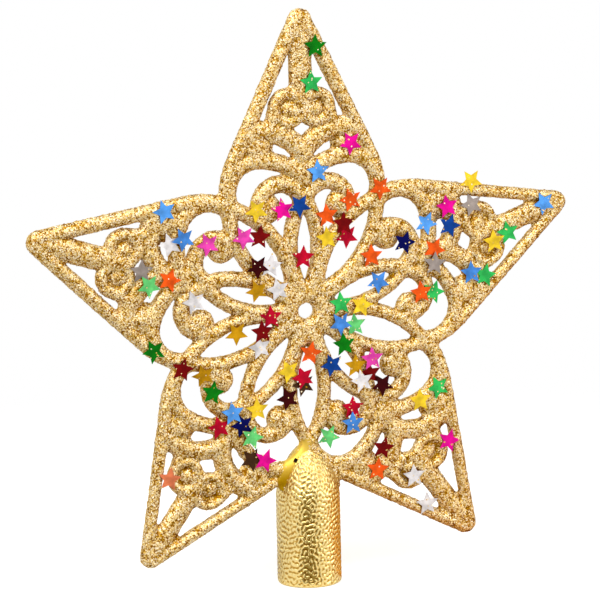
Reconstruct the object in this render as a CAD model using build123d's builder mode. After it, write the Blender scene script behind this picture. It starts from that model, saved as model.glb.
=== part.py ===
from build123d import *
import os
from math import cos, hypot, radians, sin, sqrt

os.makedirs("parts", exist_ok=True)

# Star topper: a flat filigree star in the XZ plane, front towards -Y, on an upright socket.
# Its flat back lies in the plane through the socket's axis, where the mould parts.
# Origin at the centre of the socket's mouth, +Z up. All sizes in millimetres.

# Star plate
ARM_COUNT = 5
HUB_HEIGHT = 82.3
PLATE_THICKNESS = 3.6
FRONT_BEVEL = 0.8
CORNER_ROUND = 0.5
APEX_RADIUS = 93.0
TIP_ROUND = 4.0
SHOULDER = (23.1, 46.6)
VALLEY_RADIUS = 44.0
VALLEY_ROUND = 1.0
RIM_WIDTH = 3.7

# Scrollwork of one arm: u across the arm, v out from the hub, drawn for u > 0 and mirrored
HUB_RADIUS = 7.6
HUB_HOLE_RADIUS = 2.4
PETAL_BAR = 4.0
AXIS_PETAL_LENGTH = 20.7
AXIS_PETAL_HALF_WIDTH = 2.25
AXIS_PETAL_CENTRE = 19.1
VALLEY_PETAL_LENGTH = 25.6
VALLEY_PETAL_HALF_WIDTH = 3.35
VALLEY_PETAL_CENTRE = 23.1
HOOK_CENTRE = (7.3, 31.3)
HOOK_RADIUS = 6.8
HOOK_BAR = 4.4
HOOK_START_ANGLE = -25
HOOK_SWEEP = 205
HOOK_BALL = (11.4, 31.0)
HOOK_BALL_RADIUS = 4.2
ARCH_CENTRE = (14.3, 36.2)
ARCH_RADIUS = 9.3
ARCH_ROOT = 39.6
ARCH_BAR = 4.5
ARCH_START_ANGLE = -30
SCROLL_CENTRE = (12.6, 39.3)
SCROLL_RADIUS = 14.4
SCROLL_BAR = 5.6
SCROLL_START_ANGLE = 55
SCROLL_SWEEP = 100
SCROLL_BALL = (14.6, 49.2)
SCROLL_BALL_RADIUS = 5.4
JUNCTION_HEIGHT = 41.0
JUNCTION_HALF_WIDTH = 6.2
JUNCTION_HALF_HEIGHT = 5.6
VOLUTE = (6.0, 59.9)
VOLUTE_RADIUS = 5.5
VOLUTE_EYE = (4.7, 59.2)
GROOVE_RADIUS = 2.9
GROOVE_WIDTH = 0.9
GROOVE_DEPTH = 0.7
GROOVE_START_ANGLE = 120
GROOVE_SWEEP = 290
STEM_WIDTH = 5.9
STEM_FOOT = 56.4

# Socket with a closed nose; the star's root stands in a slot in the nose
BORE_RADIUS = 8.0
SOCKET_WALL = 1.6
NOSE_HEIGHT = 16.5
NOSE_FULLNESS = 0.43
NOSE_SEAT = 4.2
NOSE_SOLID = 17.0
SLOT_FLOOR_THICKNESS = 2.5
SLOT_CLEARANCE = 0.1
MOUTH_ROUND = 0.9
ROOT_MARGIN = 0.5

# Sequins: thin foil stars glued on the front, placed from the hub
SEQUIN_RADIUS = 3.7
SEQUIN_INNER_RADIUS = 1.75
SEQUIN_THICKNESS = 0.15
SEQUIN_SEAT = 0.05
SEQUIN_LEAN = 2.5
SEQUIN_STEP = 0.7

# Derived places
half_step = 180 / ARM_COUNT
apex = (0, APEX_RADIUS)
edge_direction = (SHOULDER[0] - apex[0], SHOULDER[1] - apex[1])
valley_direction = (sin(radians(half_step)), cos(radians(half_step)))
valley = (VALLEY_RADIUS * valley_direction[0], VALLEY_RADIUS * valley_direction[1])
window_foot = (
    (VALLEY_RADIUS - RIM_WIDTH) * valley_direction[0],
    (VALLEY_RADIUS - RIM_WIDTH) * valley_direction[1],
)
arch_top = (ARCH_CENTRE[0], ARCH_CENTRE[1] + ARCH_RADIUS)
socket_radius = BORE_RADIUS + SOCKET_WALL
nose_top = HUB_HEIGHT - VALLEY_RADIUS + NOSE_SEAT
nose_base = nose_top - NOSE_HEIGHT
bore_depth = nose_top - NOSE_SOLID
slot_floor = bore_depth + SLOT_FLOOR_THICKNESS
root_foot = slot_floor + SLOT_CLEARANCE
front = -PLATE_THICKNESS


def almond(length, half_width):
    """Pointed oval between two arcs, its points on the v axis."""
    with BuildSketch() as oval:
        with BuildLine():
            ThreePointArc((0, -length / 2), (half_width, 0), (0, length / 2))
            ThreePointArc((0, length / 2), (-half_width, 0), (0, -length / 2))
        make_face()
    return oval.sketch


def petal(length, half_width, bar):
    """Bar of even width around an almond opening of the given size."""
    arc_radius = (length**2 / 4 + half_width**2) / (2 * half_width)
    outer_length = 2 * sqrt((arc_radius + bar) ** 2 - (arc_radius - half_width) ** 2)
    with BuildSketch() as ring:
        add(almond(outer_length, half_width + bar))
        add(almond(length, half_width), mode=Mode.SUBTRACT)
    return ring.sketch


def nose_curve(margin):
    """Curve over one side of the nose, from its base to its top, moved out by a margin."""
    reach = socket_radius + margin
    top = nose_top + margin
    return Bezier(
        (reach, nose_base),
        (reach, nose_base + NOSE_FULLNESS * NOSE_HEIGHT),
        (NOSE_FULLNESS * reach, top),
        (0, top),
    )


# Outer edge of half an arm, and the same edge moved in by the rim's width
with BuildLine() as outer_edge:
    Line(apex, SHOULDER)
    TangentArc(SHOULDER, valley, tangent=edge_direction)
with BuildLine() as inner_edge:
    add(offset(outer_edge.line, amount=RIM_WIDTH, side=Side.RIGHT, closed=False, mode=Mode.PRIVATE))
inner_apex = inner_edge.vertices().sort_by(Axis.Y)[-1].center()
inner_valley = inner_edge.vertices().sort_by(Axis.Y)[0].center()

with BuildSketch() as arm_blank:
    with BuildLine():
        add(outer_edge.line)
        Line(valley, (0, 0))
        mirror(about=Plane.YZ)
    make_face()

with BuildSketch() as half_window:
    with BuildLine():
        add(inner_edge.line)
        Polyline(
            inner_valley,
            window_foot,
            (0, 0),
            (-APEX_RADIUS, 0),
            (-APEX_RADIUS, inner_apex.Y),
            inner_apex,
        )
    make_face()

# Space inside the rim of one arm
with BuildSketch() as window:
    add(half_window.sketch)
    add(mirror(half_window.sketch, about=Plane.YZ, mode=Mode.PRIVATE), mode=Mode.INTERSECT)

with BuildSketch() as outline:
    with PolarLocations(0, ARM_COUNT):
        add(arm_blank.sketch)
    tips = outline.vertices().filter_by(lambda v: abs(v.center().length - APEX_RADIUS) < 0.01)
    fillet(tips, TIP_ROUND)

with BuildSketch() as rim:
    add(outline.sketch)
    with PolarLocations(0, ARM_COUNT):
        add(window.sketch, mode=Mode.SUBTRACT)

# Scrollwork of one arm
with BuildSketch() as scrollwork:
    with BuildLine():
        CenterArc(HOOK_CENTRE, HOOK_RADIUS, HOOK_START_ANGLE, HOOK_SWEEP)
    trace(line_width=HOOK_BAR)
    with Locations(HOOK_BALL):
        Circle(HOOK_BALL_RADIUS)
    with BuildLine():
        TangentArc(arch_top, (0, ARCH_ROOT), tangent=(-1, 0))
        CenterArc(ARCH_CENTRE, ARCH_RADIUS, ARCH_START_ANGLE, 90 - ARCH_START_ANGLE)
    trace(line_width=ARCH_BAR)
    with BuildLine():
        CenterArc(SCROLL_CENTRE, SCROLL_RADIUS, SCROLL_START_ANGLE, SCROLL_SWEEP)
    trace(line_width=SCROLL_BAR)
    with Locations(SCROLL_BALL):
        Circle(SCROLL_BALL_RADIUS)
    with Locations(VOLUTE):
        Circle(VOLUTE_RADIUS)
    mirror(about=Plane.YZ)
    with Locations((0, JUNCTION_HEIGHT)):
        Ellipse(JUNCTION_HALF_HEIGHT, JUNCTION_HALF_WIDTH, rotation=90)
    with Locations((0, STEM_FOOT)):
        Rectangle(STEM_WIDTH, APEX_RADIUS - STEM_FOOT, align=(Align.CENTER, Align.MIN))
    with Locations((0, AXIS_PETAL_CENTRE)):
        add(petal(AXIS_PETAL_LENGTH, AXIS_PETAL_HALF_WIDTH, PETAL_BAR))

# Root of the star: a smooth web around the nose that fills the slot down to its floor
with BuildSketch() as root_blank:
    with BuildLine():
        nose_curve(ROOT_MARGIN)
        Line((socket_radius + ROOT_MARGIN, nose_base), (0, nose_base))
        mirror(about=Plane.YZ)
    make_face()
    with Locations((0, root_foot)):
        Rectangle(4 * socket_radius, nose_top, align=(Align.CENTER, Align.MAX), mode=Mode.SUBTRACT)

# Whole flat pattern, with the corners of the openings rounded
with BuildSketch() as pattern:
    with PolarLocations(0, ARM_COUNT):
        add(scrollwork.sketch)
    with PolarLocations(0, ARM_COUNT, start_angle=half_step):
        with Locations((0, VALLEY_PETAL_CENTRE)):
            add(petal(VALLEY_PETAL_LENGTH, VALLEY_PETAL_HALF_WIDTH, PETAL_BAR))
    Circle(HUB_RADIUS)
    add(outline.sketch, mode=Mode.INTERSECT)
    add(rim.sketch)
    with Locations((0, -HUB_HEIGHT)):
        add(root_blank.sketch)
    Circle(HUB_HOLE_RADIUS, mode=Mode.SUBTRACT)
    smooth_joint = hypot(arch_top[0], arch_top[1] - ARCH_BAR / 2)
    corners = [
        vertex
        for wire in pattern.faces()[0].inner_wires()
        for vertex in wire.vertices()
        if len(wire.edges()) > 1 and abs(vertex.center().length - smooth_joint) > 0.01
    ]
    fillet(corners, CORNER_ROUND)
    valleys = [
        vertex
        for vertex in pattern.faces()[0].outer_wire().vertices()
        if abs(vertex.center().length - VALLEY_RADIUS) < 0.01
    ]
    fillet(valleys, VALLEY_ROUND)

# Spiral grooves that set off the eyes of the volutes
with BuildSketch() as groove:
    with BuildLine():
        CenterArc(VOLUTE_EYE, GROOVE_RADIUS, GROOVE_START_ANGLE, GROOVE_SWEEP)
    trace(line_width=GROOVE_WIDTH)
    mirror(about=Plane.YZ)

star_plane = Plane(origin=(0, 0, HUB_HEIGHT), x_dir=(1, 0, 0), z_dir=(0, -1, 0))
with BuildPart() as star_frame:
    with BuildSketch(star_plane):
        add(pattern.sketch)
    extrude(amount=PLATE_THICKNESS)
    chamfer(star_frame.faces().sort_by(Axis.Y)[0].edges(), FRONT_BEVEL)
    with BuildSketch(star_plane.offset(PLATE_THICKNESS)):
        with PolarLocations(0, ARM_COUNT):
            add(groove.sketch)
    extrude(amount=-GROOVE_DEPTH, mode=Mode.SUBTRACT)
star_frame.part.label = "star_frame"
export_step(star_frame.part, "parts/star_frame.step")

# Socket: sleeve with a bullet nose, bored from below and slotted for the star's root
with BuildPart() as socket:
    with BuildSketch(Plane.YZ):
        with BuildLine():
            Polyline((0, nose_top), (0, bore_depth), (BORE_RADIUS, bore_depth), (BORE_RADIUS, 0))
            Polyline((BORE_RADIUS, 0), (socket_radius, 0), (socket_radius, nose_base))
            nose_curve(0)
        make_face()
    revolve(axis=Axis.Z)
    mouth = socket.edges().filter_by(GeomType.CIRCLE).group_by(Axis.Z)[0].sort_by(SortBy.RADIUS)[-1]
    fillet(mouth, MOUTH_ROUND)
    with Locations((0, SLOT_CLEARANCE, slot_floor)):
        Box(
            4 * socket_radius,
            PLATE_THICKNESS + 2 * SLOT_CLEARANCE,
            nose_top,
            align=(Align.CENTER, Align.MAX, Align.MIN),
            mode=Mode.SUBTRACT,
        )
socket.part.label = "socket"
export_step(socket.part, "parts/socket.step")

# Sequins by colour. Each row: across, up from the hub, turn of one point from upright (degrees,
# counter-clockwise), layer where it lies on another one, and the pitch and yaw of a raised one.
SEQUINS = {
    "light_blue": [
        (-43.8, 32.9, 15, 0, 0, 0),
        (-24.7, -28.1, 5, 1, 0, 0),
        (4.0, 41.3, 3, 0, 0, 0),
        (38.1, 23.4, -25, 0, 0, 0),
        (76.6, 26.6, 28, 0, 0, 0),
    ],
    "blue": [
        (-38.5, 24.5, 24, 1, 0, 0),
        (22.4, 7.1, 32, 0, 0, 0),
        (52.2, 7.5, 0, 1, 0, 0),
        (9.9, -4.3, 36, 1, 0, 0),
        (13.1, -34.6, 2, 1, 0, 0),
    ],
    "deep_blue": [
        (-2.3, 31.7, -33, 1, 0, 0),
        (45.6, 22.1, -18, 0, 0, 0),
        (6.9, -16.5, 34, 0, 0, 9),
    ],
    "navy": [
        (-21.6, -32.1, 17, 0, 0, 0),
        (31.0, 18.2, -17, 0, 0, 0),
    ],
    "light_green": [
        (-49.4, 11.7, 33, 1, 0, 0),
        (-18.9, -35.9, -22, 1, 0, 0),
        (14.6, -5.2, 2, 0, 0, 0),
        (5.6, -38.1, -26, 0, 0, 0),
    ],
    "green": [
        (2.5, 67.6, 2, 0, 0, 0),
        (10.3, 1.6, 5, 0, 0, 0),
        (64.6, 18.6, 14, 0, 0, 0),
        (57.0, 6.2, -12, 0, 0, 0),
        (41.1, -26.5, 22, 0, 0, 0),
        (40.1, 2.6, -22, 0, 0, 0),
    ],
    "dark_green": [
        (4.0, 78.0, -2, 0, 0, 0),
        (-48.3, -7.7, 27, 0, 0, 0),
        (-30.5, -21.6, -13, 0, 0, 0),
        (11.1, -10.8, 5, 0, 0, 0),
    ],
    "pink": [
        (-30.8, 22.3, 24, 0, 0, 0),
        (-19.9, 23.6, 30, 1, 0, 0),
        (19.4, -15.6, 4, 2, 0, 0),
    ],
    "magenta": [
        (-7.4, 30.8, 9, 0, 0, 0),
        (14.5, 49.0, 32, 0, 0, 0),
        (44.7, 28.0, 10, 1, 0, 0),
        (44.4, -43.1, -18, 0, 0, 0),
        (-14.9, -43.2, -22, 1, 0, 0),
    ],
    "dark_red": [
        (-14.7, 23.3, -8, 0, 0, 0),
        (-39.7, -13.8, -18, 0, 0, 0),
        (11.5, 25.4, -3, 1, 0, 0),
        (22.8, -43.1, -12, 0, 12, 0),
        (-14.9, -4.75, 0, 1, 0, 0),
        (19.1, -20.3, 10, 0, 0, 0),
    ],
    "maroon": [
        (-15.8, 14.6, 37, 1, 0, 0),
        (-7.1, -25.4, 22, 0, 0, 0),
        (22.9, -23.9, 34, 1, 0, 0),
    ],
    "crimson": [
        (-11.8, -0.7, 0, 0, 0, 0),
        (-28.8, -32.1, 12, 0, 0, 0),
        (-1.4, 16.3, 5, 0, 0, 12),
        (-2.4, -19.4, 20, 1, 0, 0),
        (13.4, -30.1, 0, 0, 0, 0),
        (12.7, 21.4, 30, 0, 0, 0),
    ],
    "orange": [
        (-42.9, 12.8, -22, 0, 0, 0),
        (23.6, 35.0, 35, 0, 0, 0),
        (14.1, 32.2, 18, 0, 0, 0),
        (6.5, 28.1, 5, 0, 0, 0),
        (20.4, 14.9, 2, 0, 0, 0),
        (40.6, 15.4, -30, 0, 0, 0),
        (21.1, -49.6, -10, 0, 0, 0),
        (35.8, 2.9, 3, 1, 0, 0),
        (0.1, -12.3, 0, 0, 0, 12),
    ],
    "salmon": [
        (-44.6, -46.0, -10, 0, 0, 0),
    ],
    "yellow": [
        (-15.5, 31.1, 31, 0, 0, 0),
        (-16.8, -27.9, 2, 0, 0, 0),
        (-6.6, -17.3, 22, 0, 0, 0),
        (6.5, 21.4, 5, 0, 0, 0),
        (52.9, 35.0, 36, 0, 0, 0),
        (59.7, 16.4, 3, 1, 0, 0),
        (16.7, 0.6, -14, 1, 0, 0),
        (35.2, -29.9, 3, 0, 0, 0),
    ],
    "gold": [
        (-16.2, 7.6, 20, 0, 12, 0),
        (-22.7, -4.6, 34, 0, 4, 0),
        (-33.6, -16.0, 20, 0, 12, 0),
        (14.4, -17.4, 0, 1, 0, 0),
    ],
    "brown": [
        (-18.9, -42.6, -28, 0, 0, 0),
        (-2.1, -21.7, 20, 0, 0, 0),
    ],
    "white": [
        (-42.4, 23.2, 20, 0, 0, 0),
        (-35.6, 5.8, 20, 0, 0, 0),
        (-11.5, 14.6, -6, 0, 0, 0),
        (-9.4, 7.3, 10, 0, 0, 0),
        (-15.5, -9.4, 10, 0, 0, 0),
        (16.1, -22.1, 10, 2, 0, 0),
        (32.8, -52.8, 0, 0, 0, 0),
        (36.9, -61.7, 0, 0, 0, 0),
    ],
    "silver": [
        (-51.3, 16.1, -5, 0, 0, 0),
        (40.3, 11.2, -8, 1, 0, 0),
        (52.9, 27.9, 20, 0, 0, 0),
    ],
}


def star_points(turn):
    """The ten corners of a sequin, one point turned from upright."""
    corners = []
    for step in range(10):
        reach = SEQUIN_INNER_RADIUS if step % 2 else SEQUIN_RADIUS
        angle = radians(turn + 36 * step)
        corners.append((-reach * sin(angle), reach * cos(angle)))
    return corners


def sequin_plane(x, z, layer, pitch, yaw):
    """Plane of a sequin, leaning a little by its place and lifted clear of what it lies on."""
    pitch = pitch + SEQUIN_LEAN * sin(radians(61 * x))
    yaw = yaw + SEQUIN_LEAN * sin(radians(83 * z))
    lift = SEQUIN_SEAT + SEQUIN_RADIUS * sin(radians(hypot(pitch, yaw))) + SEQUIN_STEP * layer
    flat = Plane(origin=(x, front - lift, HUB_HEIGHT + z), x_dir=(1, 0, 0), z_dir=(0, -1, 0))
    return flat.rotated((pitch, yaw, 0))


for colour, rows in SEQUINS.items():
    with BuildPart() as sequins:
        for x, z, turn, layer, pitch, yaw in rows:
            with BuildSketch(sequin_plane(x, z, layer, pitch, yaw)):
                with BuildLine():
                    Polyline(*star_points(turn), close=True)
                make_face()
            extrude(amount=SEQUIN_THICKNESS)
    sequins.part.label = "sequins_" + colour
    export_step(sequins.part, "parts/sequins_" + colour + ".step")
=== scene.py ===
"""Glittered filigree star for the top of a Christmas tree: its looks, laid out as an add-on."""

import math
from collections import namedtuple

import bmesh
import bpy
import numpy as np
from bpy.props import FloatProperty, FloatVectorProperty, IntProperty, PointerProperty
from bpy.types import Operator, Panel, PropertyGroup
from mathutils import Matrix, Vector, geometry, noise
from mathutils.bvhtree import BVHTree


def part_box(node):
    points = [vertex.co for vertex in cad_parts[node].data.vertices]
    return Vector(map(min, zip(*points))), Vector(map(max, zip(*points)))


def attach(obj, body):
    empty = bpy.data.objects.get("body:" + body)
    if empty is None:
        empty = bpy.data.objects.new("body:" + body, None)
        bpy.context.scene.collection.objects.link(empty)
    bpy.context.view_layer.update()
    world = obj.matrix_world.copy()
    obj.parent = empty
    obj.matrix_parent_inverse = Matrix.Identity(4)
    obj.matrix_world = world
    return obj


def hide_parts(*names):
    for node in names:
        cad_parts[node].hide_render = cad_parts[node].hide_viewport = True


bl_info = {
    "name": "Glitter Star Topper",
    "version": (1, 0, 0),
    "blender": (4, 5, 0),
    "location": "View3D > Sidebar > Topper",
    "description": "Dresses a star tree topper in gold plating, glitter and foil sequins",
    "category": "Object",
}

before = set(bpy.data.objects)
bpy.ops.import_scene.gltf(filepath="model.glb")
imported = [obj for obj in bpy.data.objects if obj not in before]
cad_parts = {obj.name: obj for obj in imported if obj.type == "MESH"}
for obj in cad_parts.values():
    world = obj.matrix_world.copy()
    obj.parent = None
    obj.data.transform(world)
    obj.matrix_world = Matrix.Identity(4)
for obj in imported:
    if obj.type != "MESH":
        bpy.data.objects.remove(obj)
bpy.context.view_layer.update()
plate_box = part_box("star_frame")
socket_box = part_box("socket")

BODY = "root"
MM = 0.001

# Filigree of half an arm in millimetres: across from its axis, along from the hub.
# Angles in degrees, counter-clockwise from the across direction.
Arc = namedtuple("Arc", "across along radius start sweep width")
Ball = namedtuple("Ball", "across along radius")
Petal = namedtuple("Petal", "length half_width along width")

ARM_COUNT = 5
APEX = Vector((0.0, 93.0))
SHOULDER = Vector((23.1, 46.6))
VALLEY_RADIUS = 44.0
TIP_ROUND = 3.3
EDGE_RUN = (SHOULDER - APEX).normalized()
TIP_CENTRE = APEX.y - TIP_ROUND / EDGE_RUN.x
HUB_RING = Arc(0.0, 0.0, 5.0, 0.0, 360.0, 5.2)
HOOK = Arc(7.3, 31.3, 6.8, -25.0, 205.0, 4.7)
ARCH_LIMB = Arc(14.3, 36.2, 9.3, -30.0, 120.0, 4.7)
ARCH_BROW = Arc(14.3, 25.22, 20.28, 90.0, 45.0, 4.7)
SCROLL = Arc(12.6, 39.3, 14.55, 70.0, 85.0, 5.9)
VOLUTE = Arc(4.4, 60.2, 4.3, 0.0, 360.0, 2.9)
HALF_ARM_ARCS = (HOOK, ARCH_LIMB, ARCH_BROW, SCROLL, VOLUTE)
HALF_ARM_BALLS = (Ball(11.4, 31.0, 4.2), Ball(14.6, 49.2, 4.5), Ball(3.8, 59.6, 2.5))
AXIS_PETAL = Petal(20.7, 2.25, 19.1, 4.2)
VALLEY_PETAL = Petal(25.6, 3.25, 23.1, 4.2)
GROOVE_FLOORS = (Ball(4.4, 60.2, 4.9), Ball(14.6, 49.2, 5.6))
GROOVE_DEPTH = 1.4
JUNCTION = Ball(0.0, 41.0, 5.6)
JUNCTION_STRETCH = 1.1
STEM_FOOT = 56.4
STEM_WIDTH = 6.5
STROKE_LENGTH = 9.5
STROKE_LEAN = 13.0
TIP_OVERLAP = 0.5
BEND_OVERLAP = 2.0
BACK_ROUND = 0.9
WEB_ROUND = 1.7
WEB_STEPS = 24
ROUND_SEGMENTS = 5
SECTION_STEPS = 10
CHORD = 1.2
BALL_MERGE = 0.01

# Coat of glue and glitter, lengths in millimetres.
# A facing is how far a surface looks backwards, from -1 at the front to 1 at the back.
COARSE_LUMP = 1.6
FINE_LUMP = 0.7
FINE_SHARE = 0.5
COATED_FACING = 0.6
THICK_COAT = 0.4
THICK_TOWARDS = (-0.55, 0.84)
THICK_START = 0.2
THICK_REACH = 60.0
# HOLLOW_PASSES, HOLLOW_FULL and CLUMP_SHADE set a painted shade: darker glue and flakes in creases,
# partly the glue's own deeper colour, and in the dips of the coat
HOLLOW_PASSES = 3
HOLLOW_FULL = 0.12
CLUMP_SHADE = 1.4
WALL_FACING = -0.35
WALL_FADE = 0.3
WALL_BARE = 0.6
BARE_EDGE = 1.06
BARE_FADE = 0.12
BARE_SWEPT = 0.97
BARE_SMOOTHED = 0.3
WEB_PASSES = 10
FLAKE_FACING = 0.45
FLAKE_SIZES = (0.75, 1.2)
FLAKE_LIFTS = (0.3, 1.7)
SEQUIN_COVER = 4.0
SEQUIN_FACING = -0.3

# Socket with its skin and the web beside it, lengths in millimetres
BORE_RADIUS = 8.0
BORE_DEPTH = 25.5
NOSE_HEIGHT = 16.5
NOSE_FULLNESS = 0.43
NOSE_POWER = 1.68
MOUTH_ROUND = 0.9
ROOT_MARGIN = 0.3
ROOT_FOOT = 28.1
BARE_MARGIN = 2.2
LEFT_START = 0.4
LEFT_FADE = 2.0
SMEAR_START = 0.8
SMEAR_FADE = 1.0
SMEAR_FOOT = 29.0
SMEAR_RISE = 3.0
SMEAR_CALM = 0.85
NOSE_STEPS = 92
WALL_CUTS = 115
WALL_LEAST = 20.0
SOCKET_STEPS = 270
SOCKET_MERGE = 0.005
WAVE_COUNT = 48
WAVE_WIDTHS = (0.7, 1.4)
WAVE_GAIN = 1.3
SKIN_SIDE = 0.7
SKIN_ROOF = 2.0
MOUTH_CALM = 0.5
CROWN_CALM = 2.5
NOSE_REACH = 9.0
NOSE_RISE = 0.15
NOSE_BACK = 4.0
SPECK_PLACE = (-5.0, 38.0)
SPECK_WIDTH = 1.15
SPECK_FLATNESS = 0.15
SPECK_LIFT = 0.03
SPECK_TURN = 33.0


def size(label, description, default):
    """A length in metres that a user may change."""
    return FloatProperty(name=label, description=description, default=default, min=0.0, unit="LENGTH")


def angle(label, description, degrees):
    """An angle that a user may change."""
    return FloatProperty(
        name=label, description=description, default=math.radians(degrees), subtype="ANGLE"
    )


def number(label, description, default):
    """A whole number that a user may change."""
    return IntProperty(name=label, description=description, default=default, min=0)


def shade(label, description, default):
    """A colour that a user may change, as it looks on a screen."""
    return FloatVectorProperty(
        name=label, description=description, default=default, size=3, min=0.0, max=1.0,
        subtype="COLOR_GAMMA",
    )


class StarSettings(PropertyGroup):
    """Sizes of the star's relief, and the colours under its glitter."""

    hub_height: size("Hub height", "Height of the hub above the socket's mouth", 82.3 * MM)
    rim_width: size("Rim width", "Width of the bar around the star", 3.7 * MM)
    crown: size("Crown", "Height of the rounded front of a bar", 2.3 * MM)
    voxel: size("Voxel", "Grain of the mesh that joins the bars", 0.605 * MM)
    lumps: size("Lumps", "Unevenness of the glued coat", 0.18 * MM)
    smoothing: number("Smoothing", "Passes that soften the joined bars", 2)
    web: shade("Web", "Gold of the bare web beside the nose", (0.92, 0.79, 0.34))
    bed_dark: shade("Dark bed", "Darkest grain of the glue bed", (0.50, 0.31, 0.03))
    bed: shade("Bed", "Middle grain of the glue bed", (0.70, 0.48, 0.12))
    bed_pale: shade("Pale bed", "Palest grain of the glue bed", (0.93, 0.80, 0.52))
    wall: shade("Side walls", "Gold of the thinly strewn side walls", (0.90, 0.76, 0.42))
    back_dark: shade("Dark back", "Darker patches of the plated back", (0.86, 0.66, 0.24))
    back: shade("Back", "Paler patches of the plated back", (0.94, 0.77, 0.36))


class GlitterSettings(PropertyGroup):
    """The flakes that cover the front and sides of the star."""

    count: number("Flakes", "Flakes strewn on the star; those on its back are dropped", 200000)
    nose_count: number("Flakes on the nose", "Flakes strewn on the socket; few are kept", 18000)
    stray_count: number("Stray flakes", "Flakes strewn on both sides of the sequins", 520)
    radius: size("Flake radius", "Half the width of a flake over its corners", 0.24 * MM)
    lift: size("Lift", "Height of a flake's centre over the surface", 0.05 * MM)
    tilt: FloatProperty(name="Tilt", description="How unevenly the flakes lie", default=0.14)
    seed: number("Seed", "Start of the random scatter", 7)
    # Flake shades are lit and shaded copies of one gold glitter: pale is a painted glint, ochre and brown
    # are painted shade
    pale: shade("Pale flakes", "Flakes that look nearly white", (0.97, 0.91, 0.78))
    champagne: shade("Champagne flakes", "The commonest flakes", (0.94, 0.84, 0.61))
    gold: shade("Gold flakes", "Flakes of a fuller gold", (0.86, 0.71, 0.36))
    ochre: shade("Ochre flakes", "Flakes that lie mostly in creases", (0.72, 0.53, 0.08))
    brown: shade("Brown flakes", "The darkest flakes", (0.54, 0.35, 0.02))
    speck: shade("Speck", "Colour of the stray speck on the web", (0.08, 0.03, 0.01))


class SocketSettings(PropertyGroup):
    """The wrinkled skin of the socket."""

    wrinkle_height: size("Wrinkle height", "From a valley to the ridge beside it", 0.2 * MM)
    wrinkle_width: size("Wrinkle width", "Distance from one wrinkle to the next", 1.22 * MM)
    wrinkle_spread: angle("Wrinkle spread", "How far the wrinkles stray from level", 40.0)
    seed: number("Seed", "Start of the random wrinkles", 3)
    # The paler ridges are a painted highlight, not wear, and the bronze valleys a painted shade
    ridge: shade("Ridges", "Gold of the worn ridges", (0.99, 0.90, 0.63))
    plating: shade("Plating", "Gold between ridge and valley", (0.97, 0.86, 0.55))
    valley: shade("Valleys", "Bronze in the valleys", (0.76, 0.58, 0.25))
    nose: shade("Nose", "Dull champagne of the nose", (0.78, 0.67, 0.43))


# Foil colours as they look on a screen, by the names of the sequins' nodes.
# They come from about seven foils, red, orange, yellow, green, blue, pink and silver;
# their lighter and darker copies, such as navy beside blue, are painted light for how each sequin tilts.
FOILS = {
    "light_blue": (0.36, 0.65, 0.97),
    "blue": (0.29, 0.55, 0.87),
    "deep_blue": (0.06, 0.26, 0.59),
    "navy": (0.01, 0.03, 0.33),
    "light_green": (0.42, 0.83, 0.47),
    "green": (0.21, 0.77, 0.36),
    "dark_green": (0.03, 0.48, 0.06),
    "pink": (0.94, 0.28, 0.70),
    "magenta": (0.94, 0.05, 0.60),
    "dark_red": (0.48, 0.02, 0.03),
    "maroon": (0.24, 0.01, 0.02),
    "crimson": (0.76, 0.03, 0.17),
    "orange": (0.97, 0.36, 0.09),
    "salmon": (1.0, 0.56, 0.38),
    "yellow": (1.0, 0.84, 0.19),
    "gold": (0.82, 0.60, 0.06),
    "brown": (0.28, 0.17, 0.09),
    "white": (0.92, 0.90, 0.90),
    "silver": (0.63, 0.58, 0.55),
}


class SequinSettings(PropertyGroup):
    """Foil colours of the sequins, one for each node; lighter and darker copies of one foil are painted
    light.
    """

    __annotations__ = {
        name: shade(name.replace("_", " ").capitalize(), "Foil colour", colour)
        for name, colour in FOILS.items()
    }


class StageSettings(PropertyGroup):
    """The camera."""

    azimuth: angle("Azimuth", "Camera's turn to the right, negative to the left", -21.1)
    elevation: angle("Elevation", "Camera's rise above the level", 9.85)
    roll: angle("Roll", "Camera's tilt", -1.3)
    distance: size("Distance", "From the camera to the target", 1.079)
    target: FloatVectorProperty(
        name="Target", description="Point in the middle of the picture", size=3,
        default=(-0.00177, -0.0018, 0.0856), subtype="XYZ", unit="LENGTH",
    )
    lens: FloatProperty(name="Lens", description="Focal length in millimetres", default=220.0)


def linear(colour):
    """Linear values of a colour given as it looks on a screen, with full alpha."""
    values = []
    for part in colour:
        values.append(part / 12.92 if part <= 0.04045 else ((part + 0.055) / 1.055) ** 2.4)
    return (*values, 1.0)


class Value:
    """A shader socket that can stand in a Python expression."""

    def __init__(self, finish, socket):
        self.finish = finish
        self.socket = socket

    def maths(self, operation, first, second):
        return self.finish.node("ShaderNodeMath", {"operation": operation}, {0: first, 1: second})

    def __add__(self, other):
        return self.maths("ADD", self, other)

    def __radd__(self, other):
        return self.maths("ADD", other, self)

    def __sub__(self, other):
        return self.maths("SUBTRACT", self, other)

    def __rsub__(self, other):
        return self.maths("SUBTRACT", other, self)

    def __mul__(self, other):
        return self.maths("MULTIPLY", self, other)

    def __rmul__(self, other):
        return self.maths("MULTIPLY", other, self)

    def or_more(self, other):
        return self.maths("MAXIMUM", self, other)


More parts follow.
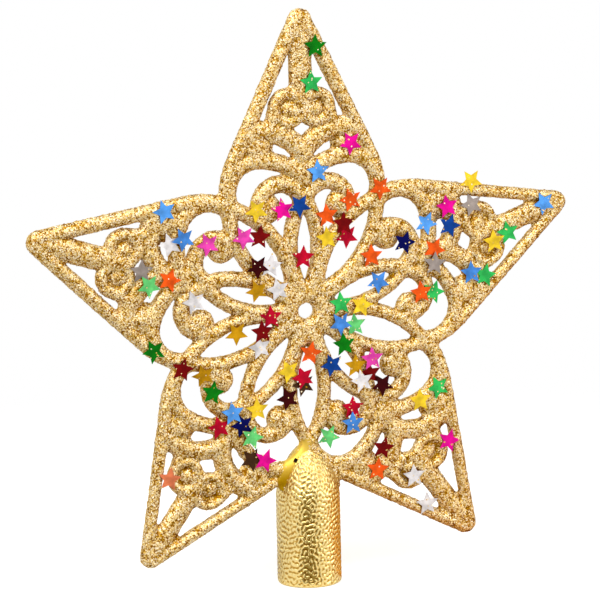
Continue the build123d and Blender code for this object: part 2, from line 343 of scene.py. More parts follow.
class Finish:
    """A material with its node tree and Principled shader."""

    def __init__(self, name, **constants):
        self.material = bpy.data.materials.new(name)
        self.material.use_nodes = True
        self.tree = self.material.node_tree
        self.shader = self.tree.nodes["Principled BSDF"]
        for label, value in constants.items():
            socket = label.replace("_", " ").title().replace("Ior", "IOR")
            self.shader.inputs[socket].default_value = value

    def node(self, kind, settings, sockets, output=0):
        """A new node: its settings first, then the values or links of its sockets."""
        made = self.tree.nodes.new(kind)
        for label, value in settings.items():
            if label == "stops":
                self.set_stops(made.color_ramp, value)
            else:
                setattr(made, label, value)
        for label, value in sockets.items():
            self.feed(made.inputs[label], value)
        return Value(self, made.outputs[output])

    def set_stops(self, ramp, stops):
        while len(ramp.elements) < len(stops):
            ramp.elements.new(1.0)
        for element, (position, colour) in zip(ramp.elements, stops):
            element.position = position
            element.color = colour

    def feed(self, socket, value):
        if isinstance(value, Value):
            self.tree.links.new(value.socket, socket)
        else:
            socket.default_value = value

    def drive(self, label, value):
        self.feed(self.shader.inputs[label], value)

    def coordinates(self):
        return self.node("ShaderNodeTexCoord", {}, {}, "Object")

    def coordinate(self, axis):
        return self.node("ShaderNodeSeparateXYZ", {}, {"Vector": self.coordinates()}, axis)

    def attribute(self, name):
        """A number that the mesh keeps for each of its vertices."""
        return self.node("ShaderNodeAttribute", {"attribute_name": name}, {}, "Fac")

    def clouds(self, scale, detail=2.0):
        """Noise between 0 and 1 with about scale patches to the metre."""
        sockets = {"Vector": self.coordinates(), "Scale": scale, "Detail": detail}
        return self.node("ShaderNodeTexNoise", {}, sockets)

    def ramp(self, value, stops):
        return self.node("ShaderNodeValToRGB", {"stops": stops}, {"Fac": value})

    def spread(self, value, low, high, to_low=0.0, to_high=1.0):
        """The value carried smoothly from one range to another."""
        sockets = {"Value": value, "From Min": low, "From Max": high, "To Min": to_low, "To Max": to_high}
        return self.node("ShaderNodeMapRange", {"interpolation_type": "SMOOTHSTEP"}, sockets)

    def blend(self, share, first, second):
        sockets = {0: share, 6: first, 7: second}
        return self.node("ShaderNodeMix", {"data_type": "RGBA"}, sockets, 2)

    def bump(self, height, distance, strength):
        sockets = {"Height": height, "Distance": distance, "Strength": strength}
        self.drive("Normal", self.node("ShaderNodeBump", {}, sockets))


def new_piece(name, mesh, *materials):
    """An object for the mesh, at the origin, with its materials."""
    piece = bpy.data.objects.new(name, mesh)
    bpy.context.scene.collection.objects.link(piece)
    for material in materials:
        mesh.materials.append(material)
    return piece


def mesh_from(bm, name):
    mesh = bpy.data.meshes.new(name)
    bm.to_mesh(mesh)
    bm.free()
    return mesh


def settled(bm):
    """Puts the faces in a fixed order, because a spin leaves them in another one each run."""
    bm.verts.index_update()
    ranked = sorted(bm.faces, key=lambda face: sorted(vert.index for vert in face.verts))
    for index, face in enumerate(ranked):
        face.index = index
    bm.faces.sort()


def baked_mesh(piece):
    """The piece's mesh with its modifiers applied."""
    graph = bpy.context.evaluated_depsgraph_get()
    return bpy.data.meshes.new_from_object(piece.evaluated_get(graph), depsgraph=graph)


def array_of(collection, field, width, kind):
    """The field of every item in a mesh collection, one row each."""
    values = np.empty(len(collection) * width, kind)
    collection.foreach_get(field, values)
    return values.reshape(-1, width)


def keep(mesh, name, values):
    """Stores one number for each vertex, for the material to read."""
    mesh.attributes.new(name, "FLOAT", "POINT").data.foreach_set("value", values.astype(np.float32))


def nose_curve(margin, steps):
    """Outline of the socket's nose from its base to its top, a margin outside it."""
    reach = socket_box[1].x + margin
    top = socket_box[1].z + margin
    base = socket_box[1].z - NOSE_HEIGHT * MM
    low_handle = (reach, 0, base + NOSE_FULLNESS * NOSE_HEIGHT * MM)
    high_handle = (NOSE_FULLNESS * reach, 0, top)
    return geometry.interpolate_bezier((reach, 0, base), low_handle, high_handle, (0, 0, top), steps)


def leftness(places):
    """1 left of the socket's axis, fading to 0 just right of it."""
    return np.clip(LEFT_START - places[:, 0] / (LEFT_FADE * MM), 0, 1)


def bareness(places):
    """Share of bare plating at each place: 1 on the web beside the nose, 0 under the glitter."""
    reach = socket_box[1].x + BARE_MARGIN * MM
    base = socket_box[1].z - NOSE_HEIGHT * MM
    rise = (NOSE_HEIGHT + BARE_MARGIN) * MM
    across = np.abs(places[:, 0]) / reach
    up = np.clip((places[:, 2] - base) / rise, 0, 2)
    level = across**NOSE_POWER + up**NOSE_POWER
    return np.clip((BARE_EDGE - level) / BARE_FADE, 0, 1) * leftness(places)


def only_verts(geom):
    return [item for item in geom if isinstance(item, bmesh.types.BMVert)]


# Bars of the filigree. They are drawn in metres about the hub, front towards -Y.
class Bars:
    """Half-round bars, rings and balls gathered in one bmesh."""

    def __init__(self, crown):
        self.bm = bmesh.new()
        self.front = plate_box[0].y
        self.back = plate_box[1].y
        self.crown = crown

    def section(self, half_width, whole=True, sunk=0.0):
        """Points across a bar and in depth: blunted back edges, straight sides and a rounded front."""
        crest = self.front + sunk
        blunt = self.back - BACK_ROUND * MM
        edge = min(crest + self.crown, blunt)
        inner = half_width - BACK_ROUND * MM
        points = [(inner, self.back), (half_width, blunt)]
        steps = SECTION_STEPS if whole else SECTION_STEPS // 2
        turn = math.pi / SECTION_STEPS
        for step in range(steps + 1):
            reach = half_width * math.cos(step * turn)
            points.append((reach, edge - (edge - crest) * math.sin(step * turn)))
        if whole:
            points.extend([(-half_width, blunt), (-inner, self.back)])
        return points

    def arc(self, arc):
        """A bar along an arc, or a closed ring for a full turn."""
        centre = Vector((arc.across, 0, arc.along)) * MM
        begin = math.radians(arc.start)
        outward = Vector((math.cos(begin), 0, math.sin(begin)))
        verts = []
        for offset, depth in self.section(arc.width * MM / 2):
            place = centre + outward * (arc.radius * MM + offset)
            verts.append(self.bm.verts.new((place.x, depth, place.z)))
        ring = arc.sweep >= 360
        if ring:
            geom = [self.bm.edges.new(pair) for pair in zip(verts, verts[1:] + verts[:1])]
        else:
            geom = [self.bm.faces.new(verts)]
        steps = max(4, round(math.radians(arc.sweep) * (arc.radius + arc.width / 2) / CHORD))
        bmesh.ops.spin(
            self.bm, geom=geom, cent=centre, axis=(0, -1, 0), angle=math.radians(arc.sweep), steps=steps,
            use_merge=ring,
        )

    def ball(self, ball, stretch=1.0, sunk=0.0):
        """A low dome on a round post, as high as the bars or sunk below them."""
        centre = Vector((ball.across, 0, ball.along)) * MM
        verts = []
        for offset, depth in self.section(ball.radius * MM, whole=False, sunk=sunk):
            verts.append(self.bm.verts.new((centre.x + offset, depth, centre.z)))
        verts.insert(0, self.bm.verts.new((centre.x, self.back, centre.z)))
        edges = [self.bm.edges.new(pair) for pair in zip(verts, verts[1:])]
        steps = round(2 * math.pi * ball.radius / CHORD)
        before = set(self.bm.verts) - set(verts)
        bmesh.ops.spin(
            self.bm, geom=edges, cent=centre, axis=(0, -1, 0), angle=2 * math.pi, steps=steps,
            use_merge=True,
        )
        fresh = [vert for vert in self.bm.verts if vert not in before]
        bmesh.ops.remove_doubles(self.bm, verts=fresh, dist=BALL_MERGE * MM)
        fresh = [vert for vert in self.bm.verts if vert not in before]
        bmesh.ops.scale(self.bm, vec=(stretch, 1, 1), space=Matrix.Translation(-centre), verts=fresh)

    def extruded(self, verts, along):
        """A prism over a face on the vertices."""
        made = bmesh.ops.extrude_face_region(self.bm, geom=[self.bm.faces.new(verts)])
        bmesh.ops.translate(self.bm, vec=along, verts=only_verts(made["geom"]))

    def straight(self, begin, end, width):
        """A bar between two points."""
        begin = Vector((begin[0], 0, begin[1])) * MM
        end = Vector((end[0], 0, end[1])) * MM
        along = end - begin
        outward = Vector((along.z, 0, -along.x)).normalized()
        verts = []
        for offset, depth in self.section(width * MM / 2):
            place = begin + outward * offset
            verts.append(self.bm.verts.new((place.x, depth, place.z)))
        self.extruded(verts, along)

    def petal_side(self, petal):
        """One side of a petal: an arc that bows out past an almond opening."""
        bow = (petal.length**2 / 4 + petal.half_width**2) / (2 * petal.half_width)
        inset = bow - petal.half_width
        radius = bow + petal.width / 2
        half = math.degrees(math.acos(inset / radius))
        self.arc(Arc(-inset, petal.along, radius, -half, 2 * half, petal.width))

    def stroke(self):
        """The scroll's stroke that leaves the rim as it runs down from the volute."""
        outward = Vector((-EDGE_RUN.y, EDGE_RUN.x))
        top = Vector((VOLUTE.across, VOLUTE.along)) + outward * VOLUTE.radius
        run = Matrix.Rotation(math.radians(-STROKE_LEAN), 2) @ EDGE_RUN
        self.straight(top, top + run * STROKE_LENGTH, VOLUTE.width)

    def rim(self, width):
        """Half the rim of one arm: tip, straight edge and the bend down to the valley."""
        inward = Vector((EDGE_RUN.y, -EDGE_RUN.x))
        slope = math.degrees(math.atan2(-inward.y, -inward.x))
        self.arc(Arc(0, TIP_CENTRE, TIP_ROUND - width / 2, slope, 90 + TIP_OVERLAP - slope, width))
        begin = Vector((0, TIP_CENTRE)) - inward * (TIP_ROUND - width / 2)
        self.straight(begin, SHOULDER + inward * width / 2, width)
        half_step = math.pi / ARM_COUNT
        valley = VALLEY_RADIUS * Vector((math.sin(half_step), math.cos(half_step)))
        chord = valley - SHOULDER
        radius = chord.length_squared / (2 * inward.dot(chord))
        centre = SHOULDER + inward * radius
        low = math.degrees(math.atan2(valley.y - centre.y, valley.x - centre.x))
        bend = slope - low + BEND_OVERLAP
        self.arc(Arc(centre.x, centre.y, radius - width / 2, low - BEND_OVERLAP, bend, width))

    def web(self, hub_height):
        """The plate that hugs the nose of the socket, down to the star's foot."""
        foot = ROOT_FOOT * MM
        right = [place for place in nose_curve(ROOT_MARGIN * MM, WEB_STEPS) if place.z > foot]
        right.insert(0, Vector((right[0].x, 0, foot)))
        left = [Vector((-place.x, 0, place.z)) for place in reversed(right[:-1])]
        outline = [(place.x, self.front, place.z - hub_height) for place in right + left]
        verts = [self.bm.verts.new(place) for place in outline]
        self.extruded(verts, (0, self.back - self.front, 0))
        rim = [edge for edge in self.bm.edges if edge.verts[0] in verts and edge.verts[1] in verts]
        bmesh.ops.bevel(
            self.bm, geom=rim, offset=WEB_ROUND * MM, affect="EDGES", segments=ROUND_SEGMENTS,
            profile=0.5, material=-1,
        )

    def mirrored(self):
        """Adds the mirror image of everything drawn so far."""
        copy = bmesh.ops.duplicate(self.bm, geom=[*self.bm.verts, *self.bm.edges, *self.bm.faces])
        bmesh.ops.scale(self.bm, vec=(-1, 1, 1), verts=only_verts(copy["geom"]))

    def turned(self, count):
        """Repeats everything drawn so far around the hub."""
        whole = [*self.bm.verts, *self.bm.edges, *self.bm.faces]
        for step in range(1, count):
            copy = bmesh.ops.duplicate(self.bm, geom=whole)
            turn = Matrix.Rotation(2 * math.pi * step / count, 3, "Y")
            bmesh.ops.rotate(self.bm, cent=(0, 0, 0), matrix=turn, verts=only_verts(copy["geom"]))


def star_bars(settings):
    """All bars of the star, at their height above the socket."""
    bars = Bars(settings.crown)
    for arc in HALF_ARM_ARCS:
        bars.arc(arc)
    for ball in HALF_ARM_BALLS:
        bars.ball(ball)
    for ball in GROOVE_FLOORS:
        bars.ball(ball, sunk=GROOVE_DEPTH * MM)
    bars.stroke()
    bars.petal_side(AXIS_PETAL)
    bars.rim(settings.rim_width / MM)
    valley_half = Bars(settings.crown)
    valley_half.petal_side(VALLEY_PETAL)
    valley_half.mirrored()
    bmesh.ops.rotate(
        valley_half.bm, cent=(0, 0, 0), matrix=Matrix.Rotation(math.pi / ARM_COUNT, 3, "Y"),
        verts=valley_half.bm.verts,
    )
    bars.mirrored()
    valley_mesh = mesh_from(valley_half.bm, "valley_petal")
    bars.bm.from_mesh(valley_mesh)
    bpy.data.meshes.remove(valley_mesh)
    bars.ball(JUNCTION, JUNCTION_STRETCH)
    bars.straight((0, STEM_FOOT), (0, TIP_CENTRE), STEM_WIDTH)
    bars.turned(ARM_COUNT)
    bars.arc(HUB_RING)
    bars.web(settings.hub_height)
    bmesh.ops.recalc_face_normals(bars.bm, faces=bars.bm.faces)
    bmesh.ops.translate(bars.bm, vec=(0, 0, settings.hub_height), verts=bars.bm.verts)
    return bars.bm


def build_up(places, hub_height):
    """Extra width of the coat on each side of a bar, which grows towards the star's upper left."""
    across, up = THICK_TOWARDS
    reach = places[:, 0] * across + (places[:, 2] - hub_height) * up
    return THICK_COAT * MM * np.clip(THICK_START + reach / (THICK_REACH * MM), 0, 1)


def lumpy(mesh, settings, bare):
    """Lays an uneven, glued coat on the front and sides and tells how deep each vertex came to lie."""
    places = array_of(mesh.vertices, "co", 3, np.float32)
    directions = array_of(mesh.vertex_normals, "vector", 3, np.float32)
    swell = np.empty(len(places), np.float32)
    for index, place in enumerate(places):
        coarse = noise.noise(Vector(place) / (COARSE_LUMP * MM))
        swell[index] = coarse + FINE_SHARE * noise.noise(Vector(place) / (FINE_LUMP * MM))
    coated = (directions[:, 1] < COATED_FACING) * (1 - bare)
    sideways = build_up(places, settings.hub_height) * coated
    places += directions * (settings.lumps * swell * coated)[:, None]
    places += directions * np.float32((1, 0, 1)) * sideways[:, None]
    mesh.vertices.foreach_set("co", places.ravel())
    mesh.update()
    return np.clip(-swell, 0, 1)


def softened(mesh, bare):
    """Smooths the bare web, which no coat makes uneven."""
    bm = bmesh.new()
    bm.from_mesh(mesh)
    verts = [vert for vert, share in zip(bm.verts, bare) if share > BARE_SMOOTHED]
    for _ in range(WEB_PASSES):
        bmesh.ops.smooth_vert(
            bm, verts=verts, factor=0.5, use_axis_x=True, use_axis_y=True, use_axis_z=True
        )
    bm.to_mesh(mesh)
    bm.free()


def sidewalls(directions):
    """Share of side wall at each direction, where the glitter is thin: 0 on the front, 1 on a wall."""
    return np.clip((directions[:, 1] - WALL_FACING) / WALL_FADE, 0, 1)


def hollows(mesh):
    """How deep each vertex lies in a crease, from 0 on open ground to 1."""
    places = array_of(mesh.vertices, "co", 3, np.float32)
    directions = array_of(mesh.vertex_normals, "vector", 3, np.float32)
    ends = array_of(mesh.edges, "vertices", 2, np.int32)
    near = np.concatenate([ends[:, 0], ends[:, 1]])
    far = np.concatenate([ends[:, 1], ends[:, 0]])
    step = places[far] - places[near]
    rise = (step * directions[near]).sum(1) / np.linalg.norm(step, axis=1)
    count = np.bincount(near)
    bend = np.bincount(near, rise) / count
    for _ in range(HOLLOW_PASSES):
        bend = np.bincount(near, bend[far]) / count
    return np.clip(bend / HOLLOW_FULL, 0, 1)


# Gold of the bare web, with a painted shade towards its foot; heights in millimetres
WEB_SHADE_BELOW = 33.0
WEB_FULL_ABOVE = 39.0
WEB_FOOT_SHADE = (0.82, 0.75, 0.15)


def web_gold(finish, settings):
    """Full yellow gold of the bare plating beside the nose, with a painted shade that deepens it towards
    its foot at the socket.
    """
    height = finish.coordinate("Z") + 0.002 * finish.clouds(300.0)
    share = finish.spread(height, WEB_SHADE_BELOW * MM, WEB_FULL_ABOVE * MM)
    deep = tuple(part * shrink for part, shrink in zip(settings.web, WEB_FOOT_SHADE))
    return finish.ramp(share, [(0.0, linear(deep)), (1.0, linear(settings.web))])


def plated_and_glued(settings):
    """Gold plating behind and on the web, the glitter's glue bed elsewhere."""
    finish = Finish("glue_bed_gold", metallic=1.0)
    behind = finish.spread(finish.coordinate("Y"), plate_box[1].y - 0.7 * MM, plate_box[1].y - 0.2 * MM)
    bare = finish.attribute("bare")
    sockets = {"Vector": finish.coordinates(), "Scale": 2500.0}
    grain = finish.node("ShaderNodeTexVoronoi", {"feature": "F1"}, sockets, "Color")
    tone = finish.node("ShaderNodeSeparateColor", {}, {"Color": grain}, "Red")
    # Painted shade: the glue bed turns darker in creases and in the dips of the coat
    coat = finish.ramp(tone - 0.45 * finish.attribute("hollow"), [
        (0.0, linear(settings.bed_dark)),
        (0.45, linear(settings.bed)),
        (1.0, linear(settings.bed_pale)),
    ])
    coat = finish.blend(0.75 * finish.attribute("wall"), coat, linear(settings.wall))
    cloud = finish.clouds(90.0, 3.0)
    plating = finish.ramp(cloud, [(0.3, linear(settings.back_dark)), (0.7, linear(settings.back))])
    web = web_gold(finish, settings)
    colour = finish.blend(bare, finish.blend(behind, coat, plating), web)
    finish.drive("Base Color", colour)
    smooth = behind.or_more(bare)
    finish.drive("Roughness", 0.5 - behind * 0.2 + 0.1 * cloud)
    finish.bump(tone * (1 - smooth) + 0.2 * cloud, 0.0002, 0.5)
    return finish.material


# Shades of the flakes and their shares on open ground and in creases; the darker shares in creases are
# painted shade
FLAKE_SHADES = ("pale", "champagne", "gold", "ochre", "brown")
DEEP_SHADES = ("gold", "ochre", "brown")
OPEN_SHARES = np.array((0.26, 0.54, 0.18, 0.02, 0.0))
CREASE_SHARES = np.array((0.02, 0.07, 0.23, 0.41, 0.27))


def flake_shades(settings):
    """Foil of the flakes: one even colour each, because the scatter mixes them. The shades are lit and
    shaded copies of one gold glitter: pale is a painted glint, ochre and brown are painted shade.
    """
    shades = []
    for label in FLAKE_SHADES:
        colour = linear(getattr(settings, label))
        metal = 1.0 if label in DEEP_SHADES else 0.8
        finish = Finish(
            "flake_" + label, base_color=colour, metallic=metal, roughness=0.55, specular_ior_level=0.2
        )
        shades.append(finish.material)
    return shades


class TOPPER_OT_star(Operator):
    """Joins the half-round bars of the filigree into one plated star"""

    bl_idname = "topper.star"
    bl_label = "Star"

    def execute(self, context):
        settings = context.scene.topper_star
        draft = new_piece("star_draft", mesh_from(star_bars(settings), "star_draft"))
        remesh = draft.modifiers.new("Join", "REMESH")
        remesh.mode = "VOXEL"
        remesh.voxel_size = settings.voxel
        soften = draft.modifiers.new("Soften", "SMOOTH")
        soften.factor = 0.5
        soften.iterations = settings.smoothing
        mesh = baked_mesh(draft)
        mesh.name = "filigree_star"
        bpy.data.objects.remove(draft)
        bare = bareness(array_of(mesh.vertices, "co", 3, np.float32))
        keep(mesh, "bare", bare)
        keep(mesh, "wall", sidewalls(array_of(mesh.vertex_normals, "vector", 3, np.float32)))
        creases = hollows(mesh)
        softened(mesh, bare)
        dips = lumpy(mesh, settings, bare)
        # Painted shade in creases and in the coat's dips, which darkens the glue bed and the flakes
        keep(mesh, "hollow", np.clip(creases + CLUMP_SHADE * dips, 0, 1))
        mesh.shade_smooth()
        star = new_piece("filigree_star", mesh, plated_and_glued(settings))
        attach(star, BODY)
        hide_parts("star_frame")
        return {"FINISHED"}


Seats = namedtuple("Seats", "points directions hollows")


def seats_on(mesh, values, count, draw):
    """Points spread evenly over a mesh, with the surface's direction and value at each."""
    mesh.calc_loop_triangles()
    corners = array_of(mesh.loop_triangles, "vertices", 3, np.int32)
    places = array_of(mesh.vertices, "co", 3, np.float32)
    directions = array_of(mesh.vertex_normals, "vector", 3, np.float32)
    areas = array_of(mesh.loop_triangles, "area", 1, np.float32)[:, 0].astype(float)
    picked = corners[draw.choice(len(areas), count, p=areas / areas.sum())]
    first = np.sqrt(draw.random(count))
    second = draw.random(count)
    shares = np.stack([1 - first, first * (1 - second), first * second], 1)
    points = (places[picked] * shares[..., None]).sum(1)
    facing = (directions[picked] * shares[..., None]).sum(1)
    return Seats(points, facing, (values[picked] * shares).sum(1))


def chosen(seats, which):
    """The seats that a mask keeps."""
    return Seats(*(values[which] for values in seats))


def all_sequins():
    """The sequins of every colour in one bmesh."""
    gathered = bmesh.new()
    for name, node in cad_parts.items():
        if name.startswith("sequins_"):
            gathered.from_mesh(node.data)
    return gathered


def unit(vectors):
    return vectors / np.linalg.norm(vectors, axis=1, keepdims=True)


def flakes(name, seats, settings, draw, materials):
    """One piece of hexagonal flakes, turned, tilted, sized and coloured at random."""
    hexagon = bmesh.new()
    bmesh.ops.create_circle(hexagon, cap_ends=True, radius=1.0, segments=6)
    corners = np.array([vert.co for vert in hexagon.verts])
    flake = mesh_from(hexagon, "flake")
    gathered = bmesh.new()
    count = len(seats.points)
    for _ in range(count):
        gathered.from_mesh(flake)
    bpy.data.meshes.remove(flake)
    mesh = mesh_from(gathered, name)
    facing = unit(seats.directions + draw.normal(0, settings.tilt, (count, 3)))
    side = unit(np.cross(facing, draw.normal(0, 1, (count, 3))))
    other = np.cross(facing, side)
    radius = settings.radius * draw.uniform(*FLAKE_SIZES, (count, 1, 1))
    lift = settings.lift * draw.uniform(*FLAKE_LIFTS, (count, 1))
    centre = seats.points + seats.directions * lift
    spread = corners[None, :, :1] * side[:, None] + corners[None, :, 1:2] * other[:, None]
    mesh.vertices.foreach_set("co", (centre[:, None] + spread * radius).ravel())
    # Painted shade: darker flakes where a seat lies in a crease or dip
    shares = OPEN_SHARES + seats.hollows[:, None] * (CREASE_SHARES - OPEN_SHARES)
    picked = (shares.cumsum(1) < draw.random((count, 1))).sum(1)
    picked = np.minimum(picked, len(FLAKE_SHADES) - 1)
    mesh.polygons.foreach_set("material_index", picked.astype(np.int32))
    mesh.update()
    piece = new_piece(name, mesh, *materials)
    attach(piece, BODY)


ARM_NAMES = ("top", "upper_right", "lower_right", "lower_left", "upper_left")


class TOPPER_OT_glitter(Operator):
    """Strews flakes over the front and sides of the star, the top of the nose and the sequins"""

    bl_idname = "topper.glitter"
    bl_label = "Glitter"

    def execute(self, context):
        settings = context.scene.topper_glitter
        hub = context.scene.topper_star.hub_height
        draw = np.random.default_rng(settings.seed)
        shades = flake_shades(settings)
        seats = self.seats_on_star(settings, draw)
        turn = np.arctan2(seats.points[:, 0], seats.points[:, 2] - hub) + math.pi / ARM_COUNT
        sector = (turn % (2 * math.pi) / (2 * math.pi / ARM_COUNT)).astype(int)
        for index, name in enumerate(ARM_NAMES):
            flakes("glitter_" + name, chosen(seats, sector == index), settings, draw, shades)
        flakes("glitter_nose", self.seats_on_nose(settings, draw), settings, draw, shades)
        flakes("glitter_strays", self.seats_on_sequins(settings, draw), settings, draw, shades)
        self.speck(settings)
        return {"FINISHED"}

    def seats_on_star(self, settings, draw):
        """Seats all over the star but for its back, the bare web and what the sequins cover."""
        mesh = bpy.data.objects["filigree_star"].data
        hollow = array_of(mesh.attributes["hollow"].data, "value", 1, np.float32)[:, 0]
        seats = seats_on(mesh, hollow, settings.count, draw)
        thin = np.maximum(BARE_SWEPT * bareness(seats.points), WALL_BARE * sidewalls(seats.directions))
        kept = (seats.directions[:, 1] < FLAKE_FACING) & (draw.random(settings.count) > thin)
        seats = chosen(seats, kept)
        sequins = all_sequins()
        tree = BVHTree.FromBMesh(sequins)
        sequins.free()
        clear = []
        for point in seats.points:
            clear.append(tree.ray_cast(Vector(point), (0, -1, 0), SEQUIN_COVER * MM)[0] is None)
        return chosen(seats, np.array(clear))

    def seats_on_sequins(self, settings, draw):
        """Seats for the few flakes that stuck to the front of the sequins."""
        mesh = mesh_from(all_sequins(), "all_sequins")
        seats = seats_on(mesh, np.zeros(len(mesh.vertices)), settings.stray_count, draw)
        bpy.data.meshes.remove(mesh)
        return chosen(seats, seats.directions[:, 1] < SEQUIN_FACING)

    def seats_on_nose(self, settings, draw):
        """Seats on the front of the nose, closer together towards its top."""
        mesh = bpy.data.objects["wrinkled_socket"].data
        seats = seats_on(mesh, np.zeros(len(mesh.vertices)), settings.nose_count, draw)
        height = np.clip((seats.points[:, 2] - socket_box[1].z) / (NOSE_REACH * MM) + 1, 0, 1)
        outside = (seats.directions[:, 2] > NOSE_RISE) & (seats.points[:, 1] < NOSE_BACK * MM)
        return chosen(seats, outside & (draw.random(settings.nose_count) < height**2))

    def speck(self, settings):
        """One dark square speck that stuck to the web."""
        bm = bmesh.new()
        across, up = SPECK_PLACE
        place = Vector((across * MM, plate_box[0].y - SPECK_LIFT * MM, up * MM))
        matrix = Matrix.Translation(place) @ Matrix.Rotation(math.radians(SPECK_TURN), 4, "Y")
        flat = Matrix.Diagonal((1, SPECK_FLATNESS, 1, 1))
        bmesh.ops.create_cube(bm, size=SPECK_WIDTH * MM, matrix=matrix @ flat)
        finish = Finish("dark_speck", roughness=0.6, specular_ior_level=0.1)
        lighter = linear(tuple(part * 1.8 for part in settings.speck))
        stops = [(0.4, linear(settings.speck)), (0.8, lighter)]
        finish.drive("Base Color", finish.ramp(finish.clouds(1500.0), stops))
        piece = new_piece("stray_speck", mesh_from(bm, "stray_speck"), finish.material)
        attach(piece, BODY)


def socket_outline(bm):
    """Half section of the socket from the bore's end over the mouth to the top of the nose."""
    bore, depth = BORE_RADIUS * MM, BORE_DEPTH * MM
    corners = [(0, depth), (bore, depth), (bore, 0), (socket_box[1].x, 0)]
    places = [Vector((across, 0, up)) for across, up in corners] + list(nose_curve(0, NOSE_STEPS))
    verts = [bm.verts.new(place) for place in places]
    for pair in zip(verts, verts[1:]):
        bm.edges.new(pair)
    return verts


def wrinkles(around, along, settings):
    """Height of the skin, from -1 in a valley to 1 on a ridge: short wavy ridges around the socket."""
    draw = np.random.default_rng(settings.seed)
    total = np.zeros_like(along)
    for _ in range(WAVE_COUNT):
        pitch = 2 * math.pi / (settings.wrinkle_width * draw.uniform(*WAVE_WIDTHS))
        lean = draw.normal(0, settings.wrinkle_spread)
        turns = round(pitch * math.sin(lean) * socket_box[1].x)
        total += np.cos(turns * around + pitch * math.cos(lean) * along + draw.uniform(0, 2 * math.pi))
    return np.tanh(WAVE_GAIN * total / math.sqrt(WAVE_COUNT / 2))


def length_along(places):
    """How far up the socket's wall and over its nose each place lies."""
    nose = nose_curve(0, NOSE_STEPS)
    lengths = [nose[0].z]
    for low, high in zip(nose, nose[1:]):
        lengths.append(lengths[-1] + (high - low).length)
    return np.interp(places[:, 2], [0] + [place.z for place in nose], [0] + lengths)


def smeared(places):
    """Share of smooth plating on the nose's left flank, where it runs into the web."""
    flank = np.clip((places[:, 1] - plate_box[0].y) / (SMEAR_FADE * MM) + SMEAR_START, 0, 1)
    flank *= np.clip((plate_box[1].y - places[:, 1]) / (SMEAR_FADE * MM) + SMEAR_START, 0, 1)
    high = np.clip((places[:, 2] - SMEAR_FOOT * MM) / (SMEAR_RISE * MM), 0, 1)
    return flank * high * leftness(places)


def wrinkled(mesh, settings):
    """Raises the wrinkles on the outside of the socket and keeps how deep each vertex lies."""
    places = array_of(mesh.vertices, "co", 3, np.float32)
    directions = array_of(mesh.vertex_normals, "vector", 3, np.float32)
    reach = np.hypot(places[:, 0], places[:, 1])
    beside = reach > (BORE_RADIUS + SKIN_SIDE) * MM
    above = places[:, 2] > (BORE_DEPTH + SKIN_ROOF) * MM
    fade = np.clip(places[:, 2] / (MOUTH_CALM * MM), 0, 1) * np.clip(reach / (CROWN_CALM * MM), 0, 1)
    fade *= beside | above
    smear = smeared(places)
    fade *= 1 - SMEAR_CALM * smear
    height = wrinkles(np.arctan2(places[:, 1], places[:, 0]), length_along(places), settings) * fade
    places += directions * ((height - fade) * settings.wrinkle_height / 2)[:, None]
    mesh.vertices.foreach_set("co", places.ravel())
    keep(mesh, "depth", (0.5 - 0.5 * height) * fade)
    keep(mesh, "bare", smear)
    mesh.update()


def plated_skin(settings, star_settings):
    """Gold plating of the socket: a painted highlight makes the ridges pale, a painted shade makes the
    valleys bronze, and the nose is dull.
    """
    finish = Finish("plated_gold", metallic=1.0)
    cloud = finish.clouds(160.0, 3.0)
    # Painted highlight on the ridges and painted shade in the valleys, by each vertex's depth
    stops = [
        (0.15, linear(settings.ridge)),
        (0.55, linear(settings.plating)),
        (0.95, linear(settings.valley)),
    ]
    skin = finish.ramp(finish.attribute("depth") + 0.2 * cloud - 0.1, stops)
    bare = finish.attribute("bare")
    base = socket_box[1].z - NOSE_HEIGHT * MM
    dull = finish.spread(finish.coordinate("Z"), base, base + NOSE_REACH * MM)
    skin = finish.blend((0.9 - 0.8 * finish.attribute("depth")) * dull, skin, linear(settings.nose))
    finish.drive("Base Color", finish.blend(bare, skin, web_gold(finish, star_settings)))
    finish.drive("Roughness", 0.1 + 0.12 * cloud + 0.2 * bare.or_more(dull))
    finish.bump(finish.clouds(2600.0, 2.0), 0.00006, 0.4)
    return finish.material


class TOPPER_OT_socket(Operator):
    """Spins the socket and raises the wrinkles of its skin"""

    bl_idname = "topper.socket"
    bl_label = "Socket"

    def execute(self, context):
        settings = context.scene.topper_socket
        bm = bmesh.new()
        verts = socket_outline(bm)
        mouth = bmesh.ops.bevel(
            bm, geom=[verts[3]], offset=MOUTH_ROUND * MM, affect="VERTICES", segments=ROUND_SEGMENTS,
            profile=0.5, material=-1,
        )
        if not mouth["verts"]:
            raise RuntimeError("the socket's mouth was not rounded")
        wall = []
        for edge in bm.edges:
            outside = min(vert.co.x for vert in edge.verts) > BORE_RADIUS * MM
            if outside and edge.calc_length() > WALL_LEAST * MM:
                wall.append(edge)
        bmesh.ops.subdivide_edges(bm, edges=wall, cuts=WALL_CUTS)
        bmesh.ops.spin(
            bm, geom=[*bm.verts, *bm.edges], cent=(0, 0, 0), axis=(0, 0, 1), angle=2 * math.pi,
            steps=SOCKET_STEPS, use_merge=True,
        )
        bmesh.ops.remove_doubles(bm, verts=bm.verts, dist=SOCKET_MERGE * MM)
        bmesh.ops.recalc_face_normals(bm, faces=bm.faces)
        settled(bm)
        mesh = mesh_from(bm, "wrinkled_socket")
        mesh.shade_smooth()
        wrinkled(mesh, settings)
        piece = new_piece("wrinkled_socket", mesh, plated_skin(settings, context.scene.topper_star))
        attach(piece, BODY)
        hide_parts("socket")
        return {"FINISHED"}


